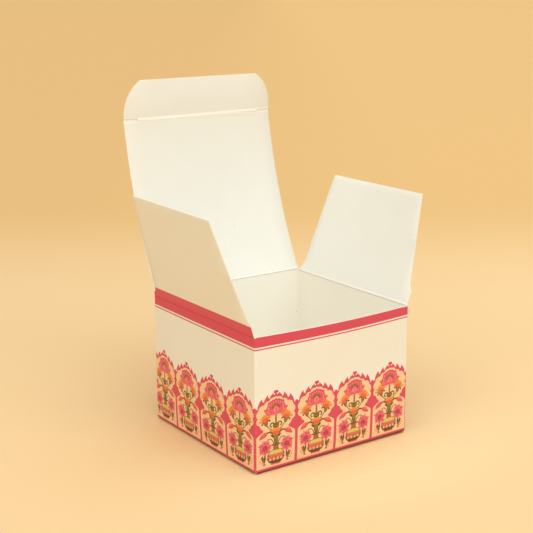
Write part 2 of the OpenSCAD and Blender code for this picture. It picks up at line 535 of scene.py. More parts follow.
INKS = {
    "rose": srgb(226, 80, 102),
    # A darker rose used only along the walls' bottom fold, as painted shade.
    "rose_painted_shade": srgb(158, 44, 46),
    "peach": srgb(255, 212, 167),
    "lotus": srgb(240, 104, 120),
    "lotus_light": srgb(253, 136, 134),
    "lotus_pale": srgb(250, 146, 142),
    "lotus_dark": srgb(190, 56, 84),
    "olive": srgb(156, 132, 48),
    "leaf": srgb(122, 100, 48),
    "dark_leaf": srgb(96, 78, 40),
    "stalk": srgb(186, 140, 74),
    "amber": srgb(252, 166, 54),
    "burnt": srgb(226, 112, 52),
    "rust": srgb(172, 76, 30),
    "flame": srgb(240, 104, 74),
    "coral": srgb(236, 94, 88),
    "coral_dark": srgb(172, 58, 64),
    "salmon": srgb(252, 182, 142),
    "daisy": srgb(236, 98, 118),
    "daisy_light": srgb(244, 120, 132),
    "daisy_dark": srgb(192, 60, 86),
    "vase_yellow": srgb(238, 202, 116),
    "vase_olive": srgb(190, 162, 44),
    "brown": srgb(98, 76, 34),
}


def fold_wear_group():
    """Where ink has rubbed off the four upright folds, most of all at their feet."""
    group = bpy.data.node_groups.new("fold wear", "ShaderNodeTree")
    reach = group.interface.new_socket("Foot Reach", in_out="INPUT", socket_type="NodeSocketFloat")
    reach.default_value = 1.5 * MM
    group.interface.new_socket("Worn", in_out="OUTPUT", socket_type="NodeSocketFloat")
    inside = group.nodes.new("NodeGroupInput")
    outside = group.nodes.new("NodeGroupOutput")
    where = add_node(group, "TexCoord").outputs["Object"]
    axes = add_node(group, "SeparateXYZ")
    group.links.new(where, axes.inputs[0])
    beyond = []
    for axis, reached in (("X", half_w - corner_r), ("Y", half_d - corner_r)):
        size = add_node(group, "Math")
        size.operation = "ABSOLUTE"
        group.links.new(axes.outputs[axis], size.inputs[0])
        past = add_node(group, "MapRange", From_Min=reached * MM, From_Max=(reached + 0.5 * corner_r) * MM)
        group.links.new(size.outputs[0], past.inputs["Value"])
        beyond.append(past.outputs["Result"])
    fold = add_node(group, "Math")
    fold.operation = "MULTIPLY"
    group.links.new(beyond[0], fold.inputs[0])
    group.links.new(beyond[1], fold.inputs[1])
    foot = add_node(group, "MapRange", From_Min=0.0, To_Min=0.42, To_Max=0.0)
    group.links.new(axes.outputs["Z"], foot.inputs["Value"])
    group.links.new(inside.outputs["Foot Reach"], foot.inputs["From Max"])
    fleck = add_node(group, "TexNoise", Scale=1500, Detail=3, Roughness=0.7)
    group.links.new(where, fleck.inputs["Vector"])
    total = add_node(group, "Math")
    total.operation = "ADD"
    group.links.new(fleck.outputs["Fac"], total.inputs[0])
    group.links.new(foot.outputs["Result"], total.inputs[1])
    worn = add_node(group, "MapRange", From_Min=0.6, From_Max=0.72)
    group.links.new(total.outputs[0], worn.inputs["Value"])
    mask = add_node(group, "Math")
    mask.operation = "MULTIPLY"
    group.links.new(worn.outputs["Result"], mask.inputs[0])
    group.links.new(fold.outputs[0], mask.inputs[1])
    group.links.new(mask.outputs[0], outside.inputs["Worn"])
    return group


fold_wear = fold_wear_group()
ink_depth = 0.9
bare_tone = srgb(246, 234, 214)


def ink_material(name, colour):
    """A printed ink: a thin even film that lets the board's fibres show, rubbed pale along the folds."""
    deep = tuple(part * ink_depth for part in colour[:3]) + (1,)

    def tinted(tree, grain):
        tone = mix_colours(tree, grain.outputs["Fibre"], deep, colour, (-450, 200))
        wear = tree.nodes.new("ShaderNodeGroup")
        wear.node_tree = fold_wear
        return mix_colours(tree, wear.outputs["Worn"], tone, bare_tone, (-200, 200))
    material, shader = surface("ink " + name, 0.4, 0.005, 1500, tinted)
    shader.inputs["Specular IOR Level"].default_value = 0.35
    return material


ink_materials = {name: ink_material(name, colour) for name, colour in INKS.items()}
ink_order = list(INKS)


def through(points, steps=smooth_steps):
    """A smooth open curve through the points."""
    ends = [points[0]] + list(points) + [points[-1]]
    curve = [points[0]]
    for k in range(len(points) - 1):
        a, b, c, d = (Vector(p) for p in ends[k:k + 4])
        for j in range(1, steps + 1):
            t = j / steps
            spot = b * 2 + (c - a) * t
            spot += (a * 2 - b * 5 + c * 4 - d) * t ** 2
            spot += (b * 3 - a - c * 3 + d) * t ** 3
            curve.append(tuple(spot / 2))
    return curve


def corners_joined(*runs):
    """Smooth runs that meet in sharp corners."""
    joined = []
    for run in runs:
        joined += through(run)[1 if joined else 0:]
    return joined


def mirrored(shape):
    return [(-x, z) for x, z in shape]


def whole(right_half):
    """A symmetrical outline from its right half, which starts and ends on the middle line."""
    return right_half + mirrored(right_half)[-2:0:-1]


def petal(base, tip, half_width, bow=0.0, fattest=0.5, steps=7):
    """A leaf-shaped outline from base to tip, bowed sideways, widest at a share of its length."""
    start, end = Vector(base), Vector(tip)
    way = (end - start).normalized()
    side = Vector((way.y, -way.x))
    power = math.log(0.5) / math.log(fattest)
    rows = []
    for k in range(steps + 1):
        share = k / steps
        middle = start.lerp(end, share) + side * bow * math.sin(math.pi * share)
        rows.append((middle, half_width * math.sin(math.pi * share ** power)))
    right = [tuple(middle + side * width) for middle, width in rows]
    left = [tuple(middle - side * width) for middle, width in rows[1:-1]]
    return right + left[::-1]


def stroke(points, start_width, end_width):
    """A brush stroke along a smooth path, from one width to another."""
    path = [Vector(p) for p in through(points)]
    right, left = [], []
    for k, spot in enumerate(path):
        way = (path[min(k + 1, len(path) - 1)] - path[max(k - 1, 0)]).normalized()
        side = Vector((way.y, -way.x))
        width = start_width + (end_width - start_width) * k / (len(path) - 1)
        right.append(tuple(spot + side * width / 2))
        left.append(tuple(spot - side * width / 2))
    return right + left[::-1]


def arc(centre, r, start, end, steps):
    """Points round a centre, from a start angle to an end angle in degrees."""
    angles = [math.radians(start + (end - start) * k / steps) for k in range(steps + 1)]
    return [(centre[0] + r * math.cos(a), centre[1] + r * math.sin(a)) for a in angles]


def oval(x, z, rx, rz, steps=14):
    turns = [2 * math.pi * k / steps for k in range(steps)]
    return [(x + rx * math.cos(t), z + rz * math.sin(t)) for t in turns]


art = []


def paint(ink, *shapes, once=False):
    """Prints shapes in an ink over what is there, and their mirror images too."""
    for shape in shapes:
        art.append((ink, shape))
        if not once:
            art.append((ink, mirrored(shape)))


def paint_petal(ink, edge_ink, base, tip, half_width, bow=0.0, fattest=0.5, once=False):
    """A petal with a fine darker edge round it."""
    start, end = Vector(base), Vector(tip)
    way = (end - start).normalized()
    paint(edge_ink, petal(base, tip, half_width, bow, fattest), once=once)
    inner = petal(start + way * petal_edge, end - way * petal_edge * 2, half_width - petal_edge, bow, fattest)
    paint(ink, inner, once=once)


def paint_fan(tips, bases, half_width, once=False):
    """An orange flower: pointed petals with burnt edges, redder towards their bases."""
    for base, tip in zip(bases, tips):
        paint_petal("amber", "burnt", base, tip, half_width, 0, 0.62, once)
    for base, tip in zip(bases, tips):
        reach = Vector(base).lerp(Vector(tip), 0.62)
        paint("flame", petal(base, reach, half_width * 0.42, 0, 0.4), once=once)


def draw_arch():
    """The rose frame with its flame crest and finial, the peach field inside it, and painted shade at its
    foot.
    """
    crest = corners_joined(
        [(11.25, 31.5), (10.75, 31.35), (10.35, 30.9), (9.95, 30.4)],
        [(9.95, 30.4), (9.8, 31.5), (9.4, 32.8), (8.7, 34.0), (7.6, 35.35)],
        [(7.6, 35.35), (7.5, 34.5), (7.1, 33.9), (6.5, 33.45)],
        [(6.5, 33.45), (6.2, 34.4), (5.5, 35.4), (4.35, 36.75)],
        [(4.35, 36.75), (4.3, 35.9), (4.0, 35.2), (3.5, 34.75)],
        [(3.5, 34.75), (3.0, 35.7), (2.3, 36.4), (1.25, 37.1)],
        [(1.25, 37.1), (1.3, 36.6), (1.1, 36.2), (0.6, 36.1)],
        [(0.6, 36.1), (0.5, 36.5), (0.7, 36.85)],
        [(0.7, 36.85), (1.15, 37.05), (1.25, 37.6), (0.8, 38.1), (0, 38.2)],
    )
    paint("rose", whole([(0, print_foot), (pitch / 2, print_foot)] + crest), once=True)
    # The lowest part of the rose, round the bottom fold, is a darker rose: painted shade of the fold over the
    # floor.
    foot_shade_top = 0.95
    painted_shade_strip = [(0, print_foot), (pitch / 2, print_foot), (pitch / 2, foot_shade_top), (0, foot_shade_top)]
    paint("rose_painted_shade", whole(painted_shade_strip), once=True)
    cusps = corners_joined(
        [(post_edge, 16.9), (10.1, 17.5), (9.2, 18.2), (8.3, 18.7), (7.4, 19.1)],
        [(7.4, 19.1), (6.95, 19.5), (6.85, 20.1), (7.25, 20.6), (7.9, 20.95)],
        [(7.9, 20.95), (8.2, 21.4), (8.5, 22.1), (8.8, 22.6), (9.35, 22.95)],
        [(9.35, 22.95), (10.1, 23.5), (10.45, 24.4), (10.4, 25.3), (9.75, 26.2)],
        [(9.75, 26.2), (10.4, 27.1), (10.55, 28.2), (10.1, 29.2), (9.3, 30.1)],
        [(9.3, 30.1), (9.15, 30.9), (8.45, 31.65), (7.4, 32.1), (6.3, 32.1)],
        [(6.3, 32.1), (6.0, 32.8), (5.3, 33.35), (4.4, 33.6), (3.6, 33.4)],
        [(3.6, 33.4), (3.4, 34.1), (2.7, 34.7), (1.8, 34.95), (1.0, 34.95)],
        [(1.0, 34.95), (0.5, 35.15), (0, 35.35)],
    )
    paint("peach", whole([(0, foot_band), (post_edge, foot_band)] + cusps), once=True)


def draw_lotus():
    """The large flower at the top: a dome of petals with an olive heart, on a stem with tendrils."""
    paint("leaf", stroke([(0, 21.5), (0, 27.5)], 0.95, 0.8), once=True)
    paint("olive", stroke([(0.08, 22.6), (0.08, 27)], 0.35, 0.3), once=True)
    dome = corners_joined(
        [(0, 34.35), (0.6, 34.0), (1.4, 33.95), (2.0, 33.75)],
        [(2.0, 33.75), (2.6, 33.45), (3.3, 33.2)],
        [(3.3, 33.2), (3.7, 33.0), (4.4, 33.0)],
        [(4.4, 33.0), (4.3, 32.0), (4.75, 31.0)],
        [(4.75, 31.0), (5.2, 30.2), (6.6, 29.75)],
        [(6.6, 29.75), (5.5, 28.3), (3.7, 27.3), (1.9, 26.65), (0, 26.4)],
    )
    paint("lotus", whole(dome), once=True)
    crown = (((0, 31.4), (0, 34.15), True), ((1.0, 31.2), (1.55, 33.8), False),
             ((1.9, 30.8), (2.9, 33.2), False), ((2.6, 30.0), (4.25, 32.85), False))
    for base, tip, centred in crown:
        paint_petal("lotus", "lotus_dark", base, tip, 0.85, 0, 0.6, centred)
        x, z = Vector(base).lerp(Vector(tip), 0.62)
        paint("lotus_pale", oval(x, z, 0.3, 0.42, 8), once=centred)
    paint("leaf", arc((0, 29.1), 2.6, 8, 172, 12) + arc((0, 28.9), 1.8, 165, 15, 12), once=True)
    paint("olive", arc((0, 29.0), 2.35, 20, 160, 12) + arc((0, 28.9), 2.05, 158, 22, 12), once=True)
    paint_petal("lotus", "lotus_dark", (1.4, 27.0), (6.5, 29.7), 0.95, 0.4, 0.42)
    paint("lotus_light", petal((2.4, 27.3), (5.4, 29.0), 0.4, 0.25))
    paint_petal("lotus_light", "lotus_dark", (1.1, 26.8), (4.6, 31.5), 1.2, 0.5, 0.5)
    paint("lotus", petal((1.6, 27.2), (3.9, 30.4), 0.5, 0.5))
    paint_petal("lotus", "lotus_dark", (0.7, 26.9), (3.0, 30.6), 0.95, 0.4, 0.5)
    paint_petal("lotus_light", "lotus_dark", (0, 27.0), (0, 31.2), 1.85, 0, 0.5, once=True)
    paint("lotus", petal((0.3, 27.2), (0.15, 30.4), 0.45), once=True)
    paint("lotus_light", oval(1.15, 26.75, 0.95, 0.36, 10))
    tendril = [(0.3, 21.8), (1.2, 22.6), (2.2, 22.85), (2.95, 22.4), (3.1, 21.7), (2.7, 21.1)]
    paint("leaf", stroke(tendril, 0.7, 0.6), oval(2.6, 21.15, 0.45, 0.4, 8))
    paint("dark_leaf", petal((0, 20.2), (1.55, 22.5), 0.78, 0.15))
    paint("olive", petal((0.35, 20.8), (1.2, 22.2), 0.46, 0.12))


def draw_side_flowers():
    """The two orange fans at the shoulders, each in a calyx with curled leaves on a thin stem."""
    paint("leaf", stroke([(5.3, 22.9), (4.4, 21.5), (3.3, 20.3), (2.4, 19.6)], 0.45, 0.4))
    outer_curl = stroke([(5.3, 23.2), (6.4, 23.7), (7.3, 23.4)], 0.7, 0.6)
    inner_curl = stroke([(5.2, 23.5), (4.2, 24.5), (3.5, 24.6)], 0.7, 0.5)
    paint("dark_leaf", outer_curl, oval(7.4, 23.05, 0.5, 0.45, 10))
    paint("dark_leaf", inner_curl, oval(3.4, 24.3, 0.48, 0.45, 10))
    paint("leaf", petal((5.15, 21.4), (5.5, 24.3), 1.05, 0, 0.6))
    paint("olive", petal((5.1, 22.0), (5.35, 23.9), 0.5, 0, 0.6))
    shares = [k / 7 for k in range(8)]
    paint("flame", petal((4.0, 25.4), (7.9, 24.2), 0.85, 0.3))
    tips = [(2.55 + 6.9 * s, 26.7 - 2.0 * s + 2.35 * math.sin(math.pi * s) ** 0.7) for s in shares]
    bases = [(4.6 + 2.2 * s, 24.6 - 0.6 * s) for s in shares]
    paint_fan(tips, bases, 0.46)


def draw_middle_flower():
    """The orange lotus in the middle, its green calyx, the bundle of stems and the arching leaves."""
    stems = [(0, 12.2), (1.35, 12.2), (1.1, 13.6), (1.15, 15.2), (1.9, 16.6), (0, 17.2)]
    paint("dark_leaf", whole(stems), once=True)
    paint("stalk", stroke([(0.55, 12.4), (0.42, 13.6), (0.5, 15.2)], 0.3, 0.25))
    paint("stalk", stroke([(1.05, 12.5), (0.85, 14)], 0.26, 0.2))
    paint("olive", petal((0, 14.4), (0, 17.6), 0.75, 0, 0.55), petal((0.7, 15.0), (1.35, 17.4), 0.42))
    paint("dark_leaf", petal((1.0, 15.6), (2.9, 17.4), 0.55, -0.15))
    paint("leaf", petal((0.3, 12.2), (2.75, 12.5), 0.45, 0.1))
    shares = [k / 8 for k in (0, 8, 1, 7, 2, 6, 3, 5, 4)]
    turns = [math.radians(170 - 160 * s) for s in shares]
    paint("flame", petal((-2.5, 18.1), (2.5, 18.1), 0.85, 0.35), once=True)
    tips = [(3.85 * math.cos(t), 18.3 + 2.35 * math.sin(t) ** 0.8) for t in turns]
    bases = [(1.3 * math.cos(t), 17.5) for t in turns]
    paint_fan(tips, bases, 0.52, once=True)
    paint("leaf", stroke([(1.2, 12.7), (1.9, 14.4), (3.1, 15.4), (4.4, 15.3), (5.4, 14.5)], 0.48, 0.28))


def draw_buds():
    """The two coral buds that hang outwards on dark stalks."""
    paint("dark_leaf", stroke([(1.5, 17.3), (2.6, 18.4), (3.7, 18.75), (5.0, 18.35)], 0.45, 0.8))
    paint_petal("coral", "coral_dark", (4.5, 18.7), (9.15, 15.9), 1.2, -0.3, 0.42)
    paint("lotus_light", petal((5.5, 18.75), (7.8, 17.5), 0.3, -0.3))


def draw_daisies():
    """The two pink daisies beside the vase: spiky petals round a dark star and an olive eye."""
    x, z = 6.0, 11.55
    petal_count = 15
    star_count = 9
    layers = ((0.5, "daisy_dark", 0.45, 0, 0.82), (0, "daisy", 0.47, 0.8, 1))
    for layer, ink, half_width, start, shrink in layers:
        for k in range(petal_count):
            turn_angle = 2 * math.pi * (k + layer) / petal_count
            way = Vector((math.cos(turn_angle), math.sin(turn_angle)))
            length = (4.6 if k % 2 else 3.75) * shrink
            colour = "daisy_light" if ink == "daisy" and k % 3 == 0 else ink
            base, tip = Vector((x, z)) + way * start, Vector((x, z)) + way * length
            paint(colour, petal(base, tip, half_width, 0, 0.4, 5))
    for k in range(star_count):
        turn_angle = 2 * math.pi * k / star_count
        tip = (x - 0.1 + 1.8 * math.cos(turn_angle), z - 0.3 + 1.7 * math.sin(turn_angle))
        paint("daisy_dark", petal((x - 0.1, z - 0.3), tip, 0.42, 0, 0.5, 5))
    paint("daisy_dark", oval(x - 0.1, z - 0.4, 0.9, 0.8, 10))
    paint("daisy", oval(x + 0.2, z + 0.15, 0.28, 0.26, 8))
    paint("olive", oval(x - 0.3, z - 1.1, 0.5, 0.45, 8))


def draw_vase():
    """The round vase: red rim, olive neck, pale shoulder, pink scallops and a dark foot on a coral base."""
    paint("coral", whole([(0, 2.65), (3.0, 2.65), (2.4, 3.5), (0, 3.5)]), once=True)
    body = through([(1.5, 9.9), (2.9, 9.45), (4.15, 8.6), (4.65, 7.1), (4.5, 5.4), (3.6, 4.0), (2.2, 3.3)])
    paint("brown", whole([(0, 3.3)] + body[::-1] + [(0, 9.9)]), once=True)
    belly = through([(0, 4.35), (2.0, 4.4), (3.5, 5.0), (4.1, 6.0), (4.1, 7.2), (0, 7.2)])
    paint("leaf", whole(belly), once=True)
    paint("vase_olive", whole([(0, 7.0), (3.9, 7.3), (4.1, 8.2), (0, 8.4)]), once=True)
    shoulder = through([(1.3, 9.75), (2.7, 9.35), (3.9, 8.5), (3.8, 8.1), (2.6, 7.85), (0, 7.8)])
    paint("vase_yellow", whole(shoulder[::-1] + [(0, 9.75)]), once=True)
    for x in (1.08, 3.2):
        paint("lotus", oval(x, 6.75, 0.98, 0.9, 12))
        paint("coral", oval(x, 6.6, 0.45, 0.34, 8))
        paint("salmon", oval(x * 0.95, 5.35, 0.72, 0.72, 10))
    paint("vase_olive", oval(2.12, 6.2, 0.24, 0.5, 8), oval(0, 6.2, 0.12, 0.5, 8))
    paint("coral", oval(2.05, 5.35, 0.26, 0.45, 8), oval(0, 5.35, 0.2, 0.45, 8), oval(4.5, 6.6, 0.4, 0.42, 8),
          oval(4.7, 5.6, 0.32, 0.34, 8))
    paint("leaf", whole([(0, 9.6), (1.75, 9.6), (1.35, 10.6), (0, 10.6)]), once=True)
    paint("olive", whole([(0, 9.7), (1.1, 9.7), (0.9, 10.4), (0, 10.4)]), once=True)
    paint("rust", whole([(0, 10.55), (1.35, 10.55), (1.55, 11.7), (0, 11.8)]), once=True)
    paint("flame", whole([(0, 10.85), (0.9, 10.85), (1.0, 11.35), (0, 11.4)]), once=True)
    paint("leaf", petal((-2.7, 12.35), (2.7, 12.35), 0.42, 0.25), once=True)


def draw_sprigs():
    """The leaves with red berries under each daisy."""
    paint("leaf", petal((6.5, 3.7), (6.1, 8.2), 0.6, -0.25, 0.6))
    paint("leaf", petal((6.5, 4.0), (7.4, 8.3), 0.65, 0.2, 0.6))
    paint("dark_leaf", petal((6.2, 5.6), (5.8, 8.2), 0.35, -0.1), petal((7.1, 5.8), (7.3, 7.8), 0.3))
    paint("olive", petal((6.65, 4.2), (6.9, 6.7), 0.36, 0.1))
    paint("flame", oval(7.95, 7.1, 0.55, 0.5, 8), oval(8.65, 5.7, 0.4, 0.38, 8), oval(8.1, 4.7, 0.3, 0.3, 8))
    paint("coral", oval(6.35, 3.65, 0.75, 0.62, 10), oval(7.4, 4.4, 0.32, 0.3, 8))


draw_arch()
draw_sprigs()
draw_daisies()
draw_vase()
draw_middle_flower()
draw_buds()
draw_side_flowers()
draw_lotus()


def counter_clockwise(shape):
    area = sum(a[0] * b[1] - b[0] * a[1] for a, b in zip(shape, shape[1:] + shape[:1]))
    return shape if area > 0 else shape[::-1]


def printed_tile():
    """One arch as a flat mesh whose faces each hold the topmost ink, cut where the wall bends."""
    points, shapes = [], []
    for ink, shape in art:
        shapes.append(list(range(len(points), len(points) + len(shape))))
        points += [Vector((x, print_rise + print_stretch * z)) for x, z in counter_clockwise(shape)]
    places, _, faces, _, _, sources = delaunay_2d_cdt(points, [], shapes, 0, snap, True)
    flat = bmesh.new()
    corners = [flat.verts.new((p.x, p.y, 0)) for p in places]
    for face, source in zip(faces, sources):
        if source:
            made = flat.faces.new([corners[k] for k in face])
            made.material_index = ink_order.index(art[max(source)][0])
    flat.normal_update()
    bmesh.ops.dissolve_limit(flat, angle_limit=math.radians(5), verts=flat.verts[:], edges=flat.edges[:],
                             delimit={"MATERIAL"})
    tile_top = 39
    for x in between(-pitch / 2, pitch / 2, bend_step)[1:-1]:
        cut_along(flat, flat.faces, (x, 0, 0), (1, 0, 0))
    for z in bend_lines_v:
        if print_foot < z < tile_top:
            cut_along(flat, flat.faces, (0, z, 0), (0, 1, 0))
    return flat


def cut_along(flat, faces, place, normal):
    """Cuts some faces of a flat print with a straight line."""
    faces = list(faces)
    parts = {edge for face in faces for edge in face.edges} | {spot for face in faces for spot in face.verts}
    bmesh.ops.bisect_plane(flat, geom=faces + list(parts), plane_co=place, plane_no=normal, dist=snap)


def repeated(tile, starts):
    """The tile side by side from each start, as one flat mesh whose faces keep their inks."""
    tile.verts.index_update()
    points, faces = [], []
    for start in starts:
        first = len(points)
        points += [(p.co.x + start, p.co.y, 0) for p in tile.verts]
        faces += [[first + p.index for p in face.verts] for face in tile.faces]
    inks = [face.material_index for face in tile.faces]
    mesh = bpy.data.meshes.new("flat print")
    mesh.from_pydata(points, [], faces)
    mesh.polygons.foreach_set("material_index", inks * len(starts))
    flat = bmesh.new()
    flat.from_mesh(mesh)
    bpy.data.meshes.remove(mesh)
    bmesh.ops.remove_doubles(flat, verts=flat.verts[:], dist=snap)
    return flat


def lay_chart(piece, spots):
    """Gives a wall print a texture chart of its own, with the four walls side by side in pairs."""
    wide = flat_w + turn + chart_gap
    starts = (sheet_start, front_start - turn, right_start - turn, back_start - turn)
    chart = piece.data.uv_layers.new(name="OFBake")
    for polygon in piece.data.polygons:
        middle = sum(spots[k].x for k in polygon.vertices) / len(polygon.vertices)
        wall = sum(middle > start + turn / 2 for start in starts[1:])
        corner = Vector((wall % 2 * wide, wall // 2 * wide)) + Vector((chart_gap, chart_gap)) / 2
        for loop in polygon.loop_indices:
            spot = spots[piece.data.loops[loop].vertex_index]
            chart.data[loop].uv = (spot - Vector((starts[wall], print_foot)) + corner) / (2 * wide)


def lay_print(name, flat, place, body, charted=False):
    """Lays a flat print on the folded board, as a film of ink that moves with a body."""
    flat.verts.index_update()
    flat.normal_update()
    points = [place(p.co.x, p.co.y, ink_lift) for p in flat.verts]
    spots = [p.co.xy for p in flat.verts]
    outwards = faces_out(place)
    faces, slots = [], []
    for face in flat.faces:
        ring = [p.index for p in face.verts]
        faces.append(ring if (face.normal.z > 0) == outwards else ring[::-1])
        slots.append(face.material_index)
    used = sorted(set(slots))
    flat.free()
    inks = [ink_materials[ink_order[k]] for k in used]
    piece = make_piece(name, points, faces, [used.index(k) for k in slots], inks)
    if charted:
        lay_chart(piece, spots)
    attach(piece, body)


tile_starts = [first_post + pitch * (k + 0.5) for k in range(-4, 12)]
arcade = repeated(printed_tile(), tile_starts)
for sheet_edge, kept in ((sheet_start, 1), (sheet_end, -1)):
    beyond_edge = [face for face in arcade.faces
                   if (face.calc_center_median().x - sheet_edge) * kept < pitch / 2]
    cut_along(arcade, beyond_edge, (sheet_edge, 0, 0), (1, 0, 0))
    off_sheet = [face for face in arcade.faces if (face.calc_center_median().x - sheet_edge) * kept < 0]
    bmesh.ops.delete(arcade, geom=off_sheet, context="FACES")
for start in (left_start, front_start, right_start, back_start):
    for line in between(start - turn, start, turn / 6):
        near = [face for face in arcade.faces if abs(face.calc_center_median().x - line) < bend_step]
        cut_along(arcade, near, (line, 0, 0), (1, 0, 0))
    in_fold = [face for face in arcade.faces if face.calc_center_median().y < corner_foot + 0.02
               and start - turn < face.calc_center_median().x < start]
    bmesh.ops.delete(arcade, geom=in_fold, context="FACES")
lay_print("wall_arcade_print", arcade, place_wall, "carton", charted=True)

edge_gap = 0.03


def place_band(u, v, lift):
    """Places the top band and line, a little low by the front left crease, and round the other rims."""
    sag = band_sag * math.exp(-abs(u) / band_sag_reach) * min(max((side_h - sag_fade - v) / sag_fade, 0), 1)
    v -= sag
    if -front_start < u <= front_end or v <= side_h - edge_gap:
        return place_wall(u, v, lift)
    top = back_h if u > back_start - on_edge else side_h
    past = v - top
    if past <= 0:
        return place_wall(u, v, lift)
    angle = min(past / rim_r, math.pi / 2)
    inwards = rim_r * (1 - math.cos(angle)) + past - rim_r * angle
    return place_wall(u, top + rim_r * math.sin(angle), lift - inwards)


band_top = [
    (sheet_start, side_h + rim_print),
    (left_end, side_h + rim_print),
    (left_end, side_h - edge_gap),
    (front_start, side_h - edge_gap),
    (front_start, front_h - edge_gap),
    (front_end, front_h - edge_gap),
    (front_end, side_h - edge_gap),
    (right_start, side_h - edge_gap),
    (right_start, side_h + rim_print),
    (right_end, side_h + rim_print),
    (right_end, side_h - edge_gap),
    (back_start, side_h - edge_gap),
    (back_start, back_h + rim_print),
    (sheet_end, back_h + rim_print),
]
rim_lines = [side_h + rim_r * math.pi / 2 * k / 5 for k in range(6)]
band_lines_v = bend_lines_v + rim_lines + [line - side_h + back_h for line in rim_lines]
band_lines_u = bend_lines_u[:-2]
band_foot = [(sheet_start, band_low), (sheet_end, band_low)]
bands = flat_blank(band_foot + band_top[::-1], band_lines_u, band_lines_v)
lay_print("wall_band_print", bands, place_band, "carton", charted=True)
line_ends = [(sheet_start, line_low), (sheet_end, line_low), (sheet_end, line_high), (sheet_start, line_high)]
fine_line = flat_blank(line_ends, band_lines_u, [])
lay_print("wall_line_print", fine_line, place_band, "carton", charted=True)

# Lid.
# The top panel of the same board, creased to the back wall and bowed forwards as it stands open.
# It ends in a crease for the tuck, with a slit cut in from each side that frees the tuck's ends.
lid_bow = math.radians(19.1)
lid_inset = 0.9
slit_len = 7.5
fold_bead = 0.6
fold_half_w = 0.72
fold_split = 0.45
fold_split_run = 18
# How wide the strip of painted highlight is, on each side of the tuck's crease.
highlight_strip_w = 1.3
slit_gap = 0.2
corner_reach = 0.8
crease_zone = 1.2
crease_step = 0.15
panel_step = 8
bleed_inset = 0.05
tuck_axis = joint_place("tuck_crease")
lid_chord = tuck_axis - lid_axis
lid_arc_r = lid_chord.length / (2 * math.sin(lid_bow / 2))
lid_lean = math.atan2(lid_chord.y, lid_chord.z) + lid_bow / 2
lid_length = lid_arc_r * lid_bow
lid_half = half_w - lid_inset


def fold_parted(x):
    """How far each ridge of the tuck's crease stands from its axis: towards the right it parts in two."""
    return fold_split * min(max(x / fold_split_run, 0), 1)


def place_lid(x, t, lift):
    """A point of the lid's blank, t up from its crease, at a lift out from its middle."""
    angle = t / lid_arc_r - lid_lean
    lift = creased(t, lift)
    if abs(x) < lid_half - slit_len:
        lift = creased(lid_length - t - fold_parted(x), lift, fold_bead, fold_half_w)
    r = lid_arc_r + lift
    y = lid_axis.y - lid_arc_r * math.cos(lid_lean) + r * math.cos(angle)
    z = lid_axis.z + lid_arc_r * math.sin(lid_lean) + r * math.sin(angle)
    return Vector((x, y, z))


corner_x = lid_half - slit_len + slit_gap
lid_outline = [
    (-lid_half, 0),
    (lid_half, 0),
    (lid_half, lid_length + corner_reach),
    (corner_x, lid_length + corner_reach),
    (corner_x, lid_length),
    (-corner_x, lid_length),
    (-corner_x, lid_length + corner_reach),
    (-lid_half, lid_length + corner_reach),
]
lid_lines = between(0, crease_zone, crease_step) + between(crease_zone, lid_length - 2, 3)
lid_lines += between(lid_length - 2, lid_length, crease_step)
lid_sheet = ([], [], [])
lid_flat = flat_blank(lid_outline, between(-corner_x + 0.1, corner_x - 0.1, panel_step), lid_lines)
add_board(lid_sheet, lid_flat, place_lid, board / 2, -board / 2,
          rolled=lambda u, v: v < on_edge or (abs(u) < corner_x - on_edge and v > lid_length - on_edge),
          apart=lambda v: lid_length - highlight_strip_w < v < lid_length)
lid = make_piece("lid_sheet", *lid_sheet, BOARD_FACES)
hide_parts("lid_panel")
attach(lid, "lid")

roll_print = 1.6 * board / 2


def roll_lines():
    """Heights of a bleed print: up the flap to its end, and round the outside of the rolled crease."""
    near_crease = between(-roll_print, 0, 0.05) + between(0, crease_zone, crease_step)
    return near_crease + between(crease_zone, bleed, 2)[1:]


def round_the_roll(place):
    """Places a bleed print, whose part below the crease wraps round the rolled board."""
    def wrapped(along, up, lift):
        if up >= 0:
            return place(along, up, board / 2 + lift)
        angle = -up / (board / 2)
        r = board / 2 + lift
        flat_out = place(along, 0, r * math.cos(angle))
        down = place(along, 0, 0) - place(along, 1, 0)
        return flat_out + down.normalized() * r * math.sin(angle)
    return wrapped


lid_bleed = flat_blank([(-lid_half + bleed_inset, -roll_print), (lid_half - bleed_inset, -roll_print),
                        (lid_half - bleed_inset, bleed), (-lid_half + bleed_inset, bleed)], [], roll_lines())
lay_print("lid_band_print", lid_bleed, round_the_roll(place_lid), "lid")

# Tuck.
# The flap at the lid's end, with round shoulders, which slides in behind the front wall.
# A narrow neck joins it to the lid, and its crease has left a raised bead inside.
tuck_h = 20.3
tuck_bend = math.radians(14.3)
tuck_r = 20
tuck_r_start = 3.5
neck_h = 1.1
neck_start = board / 2 + crease_gap
tuck_lean = math.pi / 2 + lid_bow - lid_lean + tuck_bend


def place_tuck(x, t, lift):
    """A point of the tuck's blank, t up from its crease, at a lift out from its middle."""
    lift = creased(t - fold_parted(x), lift, fold_bead, fold_half_w)
    y = tuck_axis.y + t * math.cos(tuck_lean) + lift * math.sin(tuck_lean)
    z = tuck_axis.z + t * math.sin(tuck_lean) - lift * math.cos(tuck_lean)
    return Vector((x, y, z))


